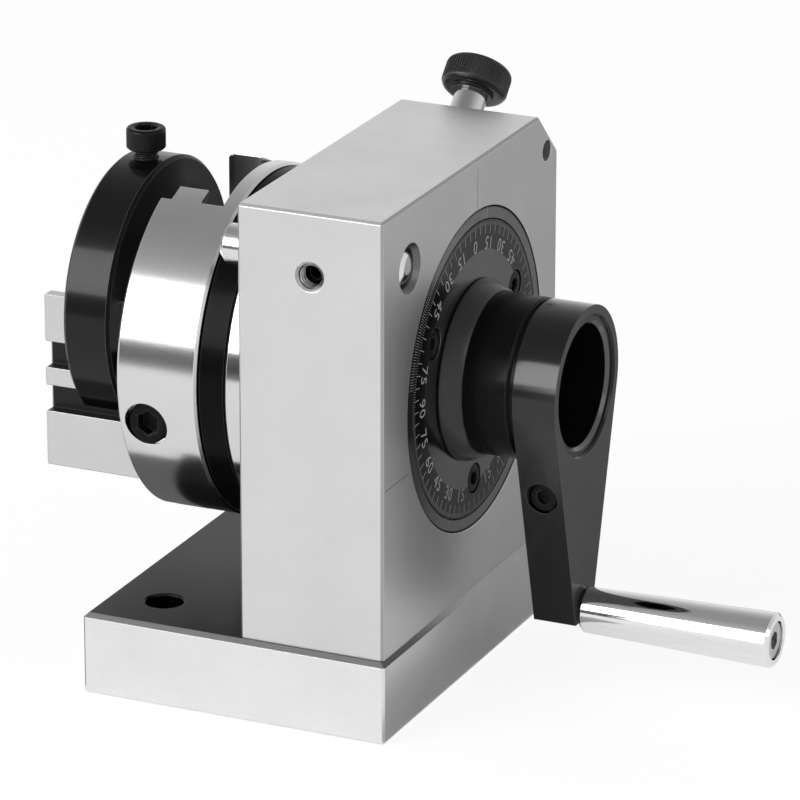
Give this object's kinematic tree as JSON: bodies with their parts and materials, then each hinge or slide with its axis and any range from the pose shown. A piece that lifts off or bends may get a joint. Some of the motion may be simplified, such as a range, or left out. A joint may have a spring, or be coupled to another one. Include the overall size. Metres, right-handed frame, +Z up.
{
  "type": "punch former",
  "caption": "Punch grinding fixture: upright block with a crank-turned hollow spindle, degree dial, slotted drum, sliding V-block with clamp yoke, and sprung index plunger.",
  "frame": {"origin": "centre of the base plate's underside", "axes": "+X along the spindle from the V-block towards the crank, +Y from the front face to the back, +Z up"},
  "size_m": [0.1753, 0.1134, 0.1339],
  "materials": {
    "ground_steel": "fine surface-ground",
    "turned_steel": "fine turned and ground",
    "black_oxide": "satin black oxide",
    "dial_black": "satin black with engraved pale lines",
    "spring_steel": "bright drawn wire",
    "chrome": "polished",
    "bush_bronze": "turned bronze"
  },
  "bodies": {
    "frame": {"base_plate": "ground_steel", "upright_housing": "ground_steel", "base_bolts": "black_oxide", "dowel_pins": "turned_steel", "left_bush": "bush_bronze", "right_bush": "bush_bronze", "bearing_cap": "turned_steel", "vernier_ring": "dial_black", "plunger_plug": "turned_steel", "plunger_spring": "spring_steel", "plug_screw": "black_oxide", "stop_pin_screw": "black_oxide"},
    "spindle": {"spindle": "turned_steel", "index_key": "turned_steel", "index_disc": "turned_steel", "dial_carrier": "black_oxide", "dial_plate": "dial_black", "dial_screws": "black_oxide", "thrust_collar": "black_oxide", "lock_nut": "black_oxide", "crank_spacer": "black_oxide", "crank_arm": "black_oxide", "crank_screw": "black_oxide", "handle_pin": "turned_steel", "stop_ring": "black_oxide", "drum": "turned_steel", "drum_screws": "black_oxide"},
    "slide": {"v_block": "ground_steel"},
    "yoke": {"clamp_yoke": "black_oxide"},
    "yoke_screw": {"clamp_screw": "black_oxide"},
    "lock_screw": {"slide_lock_screw": "black_oxide"},
    "handle": {"handle_sleeve": "chrome"},
    "plunger": {"index_plunger": "turned_steel", "plunger_knob": "black_oxide"},
    "pin": {"stop_pin": "turned_steel"}
  },
  "joints": [
    {"name": "spindle_turn", "type": "hinge", "parent": "frame", "child": "spindle", "pos_m": [0, 0.002, 0.074], "axis": [1, 0, 0], "continuous": true},
    {"name": "slide_height", "type": "slide", "parent": "spindle", "child": "slide", "axis": [0, 0, 1], "range_m": [-0.008, 0.008]},
    {"name": "yoke_slide", "type": "slide", "parent": "slide", "child": "yoke", "axis": [1, 0, 0], "range_m": [-0.008, 0.0035]},
    {"name": "clamp_screw_travel", "type": "slide", "parent": "yoke", "child": "yoke_screw", "axis": [0, 0, 1], "range_m": [-0.0013, 0.012]},
    {"name": "lock_screw_travel", "type": "slide", "parent": "spindle", "child": "lock_screw", "axis": [0, -1, 0], "range_m": [0, 0.0015]},
    {"name": "handle_spin", "type": "hinge", "parent": "spindle", "child": "handle", "pos_m": [0.089, 0.002, 0.0188], "axis": [1, 0, 0], "continuous": true},
    {"name": "index_plunger_pull", "type": "slide", "parent": "frame", "child": "plunger", "axis": [0, 0.7071, 0.7071], "range_m": [-0.005, 0]},
    {"name": "stop_pin_slide", "type": "slide", "parent": "frame", "child": "pin", "axis": [1, 0, 0], "range_m": [-0.004, 0.011]}
  ]
}
